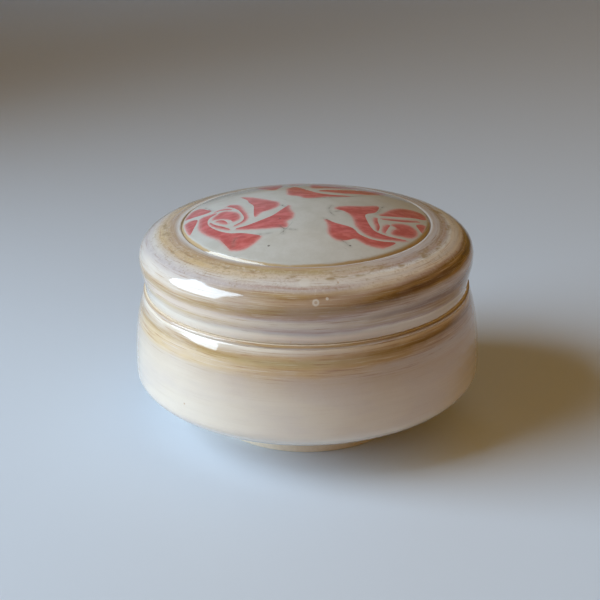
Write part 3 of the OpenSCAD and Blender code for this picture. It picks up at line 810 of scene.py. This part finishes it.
def inlay_clay(name, c, pink):
    """Coloured clay under clear glaze. The fade attribute is the share of pink: petals lose it
    towards their outer edges, and the white clay beside them takes a little."""
    m = Shading(name)
    where = m.place()
    cloud = m.noise(where, 160.0, 4.0, 0.6)
    grain = m.noise(where, 1100.0, 5.0, 0.7)
    white = m.mix(m.between(cloud, 0.35, 0.7), c.panel_clay, c.slice_clay)
    white = m.mix(m.between(grain, 0.35, 0.75, 0.0, 0.18), white, srgb(180, 178, 170))
    if pink:
        smear = m.noise(m.vector("MULTIPLY", where, (1, 2.2, 1)), 240.0, 5.0, 0.62)
        rose = m.mix(m.between(smear, 0.38, 0.68), c.deep_pink, c.pink_clay)
        rose = m.mix(m.between(grain, 0.50, 0.85, 0.0, 0.3), rose, srgb(222, 146, 142))
    else:
        rose = c.pink_clay
    ragged = m.offset(m.noise(where, 900.0, 4.0, 0.65), 0.7)
    fade = m.attribute("fade")
    loose = m.times(m.times(fade, m.minus(1.0, fade)), 4.0)
    share = m.plus(fade, m.times(ragged, loose), clamp=True)
    base = m.mix(share, white, rose)
    # dark hairlines: cracks, and here and there the joint of slice and panel
    wander = m.noise(where, 700.0, 3.0, 0.6)
    there = m.between(m.noise(where, 95.0, 3.0, 0.6), 0.53, 0.62)
    hair = m.times(m.between(m.attribute("seam"), 0.16, 0.04), there)
    base = m.mix(m.times(hair, 0.45), base, srgb(120, 122, 118))
    gap = m.plus(m.attribute("crack"), m.times(wander, 0.5))
    smoky = m.between(gap, 1.5, 0.3)
    base = m.mix(m.times(smoky, 0.22), base, srgb(132, 132, 126))
    fissure = m.times(m.between(gap, 0.48, 0.22), m.between(wander, 0.68, 0.52))
    base = m.mix(m.times(fissure, 0.7), base, srgb(92, 84, 80))
    flat = m.vector("MULTIPLY", where, (1, 1, 0))
    for x, y, size in SPECKS:
        near = m.vector("DISTANCE", flat, (x * MM, y * MM, 0), "Value")
        near = m.plus(near, m.offset(wander, size * MM))
        dot = m.between(near, size * MM, size * 0.4 * MM)
        base = m.mix(m.times(dot, 0.75), base, srgb(74, 72, 74))
    # a few iron specks
    speck = m.dots(where, 95.0, 0.045, 0.02, 0.88)
    base = m.mix(m.times(speck, 0.8), base, srgb(84, 76, 74))
    # tan glaze pooled in the groove
    pooled = m.between(m.plus(m.attribute("rim"), m.offset(cloud, 0.8)), 0.75, 0.35)
    base = m.mix(m.times(pooled, 0.8), base, srgb(186, 154, 104))
    roughness = m.between(grain, 0.3, 0.7, 0.05, 0.12)
    swell = m.bump(m.noise(where, 300.0, 1.0, 0.3), 0.00003, 0.7)
    return m.finish(base, roughness, swell, GLAZE_IOR, 0.4)


# ---- operators ----


def profile_point(profile, along, at, degrees):
    """The point on a turned piece at a distance along its outside and an angle round it."""
    r, z = (float(np.interp(at, along, profile[0][:, k])) for k in (0, 1))
    a = math.radians(degrees)
    return (r * math.cos(a), r * math.sin(a), z)


class TRINKETBOX_OT_bowl(bpy.types.Operator):
    """Make the thrown bowl with its foot ring."""

    bl_idname = "trinketbox.bowl"
    bl_label = "Bowl"

    def execute(self, context):
        s, c = millimetres(context.scene.trinketbox_sizes), context.scene.trinketbox_colours
        profile = bowl_profile(s)
        # the outside is measured down from the rim, so the profile is walked the other way
        rim = int(np.argmax(profile[0][:, 1] >= s.rim_height - 0.02))
        along = -arc_length(profile[0], rim)
        places = {"streaks": (12.0, 7.0), "mottle": (FAR, FAR + 1), "calm": (FAR + 1, FAR),
                  "climb": 0.0}
        make_thrown("bowl", profile, along, 360, s,
                    glaze("bowl_glaze", BOWL_BANDS, c, places, []))
        return {"FINISHED"}


class TRINKETBOX_OT_lid(bpy.types.Operator):
    """Make the thrown lid with its flange and the pocket for the panel."""

    bl_idname = "trinketbox.lid"
    bl_label = "Lid"

    def execute(self, context):
        s, c = millimetres(context.scene.trinketbox_sizes), context.scene.trinketbox_colours
        profile = lid_profile(s)
        # the outside is measured up from the seat, where the profile comes out from inside
        inside = profile[1]
        seat = int(np.argmax((inside[1:] < 0.5) & (inside[:-1] > 0.5))) + 1
        along = arc_length(profile[0], seat)
        flecks = [(profile_point(profile, along, 19.4, -90.5), 1.9, False),
                  (profile_point(profile, along, 13.0, -87.2), 1.1, True),
                  (profile_point(profile, along, 13.9, -83.6), 0.5, False)]
        places = {"streaks": (2.0, 5.0), "mottle": (16.0, 24.0), "calm": (24.6, 23.6),
                  "climb": 3.2}
        make_thrown("lid", profile, along, 448, s,
                    glaze("lid_glaze", LID_BANDS, c, places, flecks))
        return {"FINISHED"}


def rose_outlines(s):
    """For each rose, its slice's outline and its petals' outlines by node name."""
    radius, centre = dome_radius(s)
    roses = {}
    for rose in ROSES:
        prefix = rose + "_rose_"
        names = sorted(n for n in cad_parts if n.startswith(prefix) and "slice" not in n)
        petals = {n: evened(plan_outline(n, radius, centre), 0.4) for n in names}
        roses[rose] = (evened(plan_outline(prefix + "slice", radius, centre)), petals)
    return roses


def from_cracks(plan):
    """The distance from each point in plan to the nearest crack."""
    best = np.full(len(plan), 9.0)
    for crack in CRACKS:
        for a, b in zip(np.array(crack[:-1]), np.array(crack[1:])):
            d = b - a
            t = np.clip(((plan - a) * d).sum(1) / (d * d).sum(), 0, 1)
            best = np.minimum(best, np.linalg.norm(plan - a - t[:, None] * d, axis=1))
    return best


def clay_values(plan, petals, slices, heart, s, own=None):
    """The fade, seam and rim values over points in plan. Pink fades over about a millimetre
    where a petal's edge faces away from the rose's heart, and ends sharply elsewhere."""
    gap, normal = nearest_edge(plan, [own] if own is not None else petals)
    outward = plan - heart
    outward /= np.maximum(np.linalg.norm(outward, axis=1), 0.1)[:, None]
    soft = np.clip((outward * normal).sum(1) * 2 - 0.4, 0, 1)
    if own is None:
        fade = 0.8 * soft * np.exp(-((gap / 0.55) ** 2))
    else:
        fade = 1 - 0.2 * soft * np.exp(-((gap / 0.5) ** 2))
    return {"fade": fade,
            "seam": nearest_edge(plan, slices)[0],
            "crack": from_cracks(plan),
            "rim": s.panel_radius - np.linalg.norm(plan, axis=1)}


class TRINKETBOX_OT_panel(bpy.types.Operator):
    """Make the white panel with the three pockets for the rose slices."""

    bl_idname = "trinketbox.panel"
    bl_label = "Panel"

    def execute(self, context):
        s, c = millimetres(context.scene.trinketbox_sizes), context.scene.trinketbox_colours
        slices = [outline for outline, _ in rose_outlines(s).values()]
        radius = s.panel_radius - 0.02
        angle = 2 * np.pi * np.arange(448) / 448
        edge = radius * np.stack([np.cos(angle), np.sin(angle)], 1)

        def values(plan):
            far = clay_values(plan, slices, slices, np.zeros(2), s)
            far["fade"] = np.zeros(len(plan))
            return far

        piece = make_clay("panel", edge, slices, s.panel_thickness, s.slice_depth, s,
                          0.45, values, inlay_clay("panel_clay", c, False))
        piece.name = "white_panel"
        return {"FINISHED"}


class TRINKETBOX_OT_roses(bpy.types.Operator):
    """Make the three rose slices and every petal in them."""

    bl_idname = "trinketbox.roses"
    bl_label = "Rose slices and petals"

    def execute(self, context):
        s, c = millimetres(context.scene.trinketbox_sizes), context.scene.trinketbox_colours
        roses = rose_outlines(s)
        slices = [outline for outline, _ in roses.values()]
        white = inlay_clay("slice_clay", c, False)
        pink = inlay_clay("petal_clay", c, True)
        for rose, (outline, petals) in roses.items():
            heart = petals[rose + "_rose_heart"].mean(0)
            loops = list(petals.values())
            make_clay(
                rose + "_rose_slice", outline, loops, s.slice_depth, s.petal_depth,
                s, 0.42,
                lambda plan: clay_values(plan, loops, slices, heart, s), white)
            for node, loop in petals.items():
                make_clay(node, loop, [], s.petal_depth, s.petal_depth, s, 0.4,
                          lambda plan: clay_values(plan, loops, slices, heart, s, own=loop),
                          pink)
        return {"FINISHED"}


def area_light(name, place, target, width, height, power, shade):
    """A soft rectangular light that faces a point."""
    data = bpy.data.lights.new(name, "AREA")
    data.shape = "RECTANGLE"
    data.size, data.size_y, data.energy, data.color = width, height, power, shade
    light = bpy.data.objects.new(name, data)
    light.location = place
    light.visible_camera = False
    aim = Vector(target) - Vector(place)
    light.rotation_euler = aim.to_track_quat("-Z", "Y").to_euler()
    bpy.context.scene.collection.objects.link(light)
    return light


# places on the stage, in metres
WINDOW_LIGHT = {"place": (-1.74, -0.30, 0.97), "target": (0, 0, 0.03), "width": 1.55,
                "height": 1.7}
BACK_LIGHT = {"place": (0.0, 1.3, 0.75), "target": (0.0, 1.15, 0), "width": 0.7, "height": 0.7}
FLOOR_EDGE, FLOOR_BACK, SWEEP, WALL_TOP = 3.0, 2.4, 0.8, 3.0
CARD_X, CARD_FRONT, CARD_TOP = -0.5, 0.13, 2.2
CAMERA_PLACE, CAMERA_TARGET, CAMERA_ROLL = (0, -0.3289, 0.1725), (0, 0, 0.0357), -0.58


class TRINKETBOX_OT_stage(bpy.types.Operator):
    """Make the plain floor, the soft window light and the camera."""

    bl_idname = "trinketbox.stage"
    bl_label = "Stage"

    def execute(self, context):
        stage = context.scene.trinketbox_stage
        # floor that curves up far behind
        x = np.linspace(-FLOOR_EDGE, FLOOR_EDGE, 25)
        bend = np.radians(np.linspace(0, 90, 24))[1:]
        flat_y = np.linspace(-FLOOR_EDGE, FLOOR_BACK, 30)
        y = np.concatenate([flat_y, FLOOR_BACK + SWEEP * np.sin(bend), [FLOOR_BACK + SWEEP]])
        z = np.concatenate([np.zeros(30), SWEEP - SWEEP * np.cos(bend), [WALL_TOP]])
        grid = np.stack([np.repeat(x[None], len(y), 0), np.repeat(y[:, None], len(x), 1),
                         np.repeat(z[:, None], len(x), 1)], 2).reshape(-1, 3)
        i, j = np.meshgrid(np.arange(len(y) - 1), np.arange(len(x) - 1), indexing="ij")
        a = (i * len(x) + j).ravel()
        quads = np.stack([a, a + 1, a + 1 + len(x), a + len(x)], 1)
        mesh = bpy.data.meshes.new("floor")
        mesh.from_pydata(grid.tolist(), [], quads.tolist())
        mesh.polygons.foreach_set("use_smooth", np.ones(len(quads), bool))
        floor = bpy.data.objects.new("floor", mesh)
        context.scene.collection.objects.link(floor)
        m = Shading("pale_floor")
        soft = m.noise(m.place(), 3.0, 2.0, 0.4)
        tint = tuple(0.97 * v for v in stage.floor_colour)
        m.finish(m.mix(soft, tuple(stage.floor_colour), tint),
                 m.between(soft, 0.0, 1.0, 0.5, 0.6), m.bump(soft, 0.0001, 0.1))
        mesh.materials.append(m.material)
        area_light("window", power=stage.window_power, shade=stage.window_colour,
                   **WINDOW_LIGHT)
        back = area_light("back", power=stage.back_power, shade=stage.back_colour,
                          **BACK_LIGHT)
        back.visible_glossy = False
        # an upright card keeps the window off the floor far behind the box
        card_mesh = bpy.data.meshes.new("card")
        corners = [(CARD_FRONT, 0), (FLOOR_BACK, 0), (FLOOR_BACK, CARD_TOP),
                   (CARD_FRONT, CARD_TOP)]
        card_mesh.from_pydata([(CARD_X, *corner) for corner in corners], [], [(0, 1, 2, 3)])
        card = bpy.data.objects.new("card", card_mesh)
        card.visible_camera = card.visible_glossy = False
        context.scene.collection.objects.link(card)
        black = Shading("card_black")
        black.shader.inputs["Base Color"].default_value = (0.02, 0.02, 0.02, 1)
        card_mesh.materials.append(black.material)
        world = bpy.data.worlds.new("room")
        world.use_nodes = True
        sky = world.node_tree.nodes["Background"]
        sky.inputs["Color"].default_value = (*stage.room_colour, 1)
        sky.inputs["Strength"].default_value = stage.sky_power
        context.scene.world = world
        context.scene.view_settings.view_transform = "Standard"
        data = bpy.data.cameras.new("camera")
        data.lens, data.sensor_width = 72, 36
        data.shift_x, data.shift_y = -0.011, -0.0055
        data.clip_start = 0.02
        camera = bpy.data.objects.new("camera", data)
        camera.location = CAMERA_PLACE
        aim = Vector(CAMERA_TARGET) - camera.location
        camera.rotation_euler = aim.to_track_quat("-Z", "Y").to_euler()
        camera.rotation_euler.rotate_axis("Z", math.radians(CAMERA_ROLL))
        context.scene.collection.objects.link(camera)
        context.scene.camera = camera
        return {"FINISHED"}


class TRINKETBOX_PT_sidebar(bpy.types.Panel):
    """Sizes, colours and the buttons that build the box."""

    bl_label = "Trinket box"
    bl_idname = "TRINKETBOX_PT_sidebar"
    bl_space_type = "VIEW_3D"
    bl_region_type = "UI"
    bl_category = "Trinket box"

    def draw(self, context):
        for group in GROUPS:
            settings = getattr(context.scene, group)
            box = self.layout.box()
            for key in settings.__annotations__:
                box.prop(settings, key)
        for name in OPERATORS:
            self.layout.operator("trinketbox." + name)


GROUPS = {"trinketbox_sizes": TrinketBoxSizes, "trinketbox_colours": TrinketBoxColours,
          "trinketbox_stage": TrinketBoxStage}
OPERATORS = ("stage", "bowl", "lid", "panel", "roses")
CLASSES = (*GROUPS.values(), TRINKETBOX_OT_stage, TRINKETBOX_OT_bowl, TRINKETBOX_OT_lid,
           TRINKETBOX_OT_panel, TRINKETBOX_OT_roses, TRINKETBOX_PT_sidebar)


def register():
    for cls in CLASSES:
        bpy.utils.register_class(cls)
    for name, group in GROUPS.items():
        setattr(bpy.types.Scene, name, PointerProperty(type=group))


def unregister():
    for name in GROUPS:
        delattr(bpy.types.Scene, name)
    for cls in reversed(CLASSES):
        bpy.utils.unregister_class(cls)


def main():
    register()
    for name in OPERATORS:
        getattr(bpy.ops.trinketbox, name)()


if __name__ == "__main__":
    main()
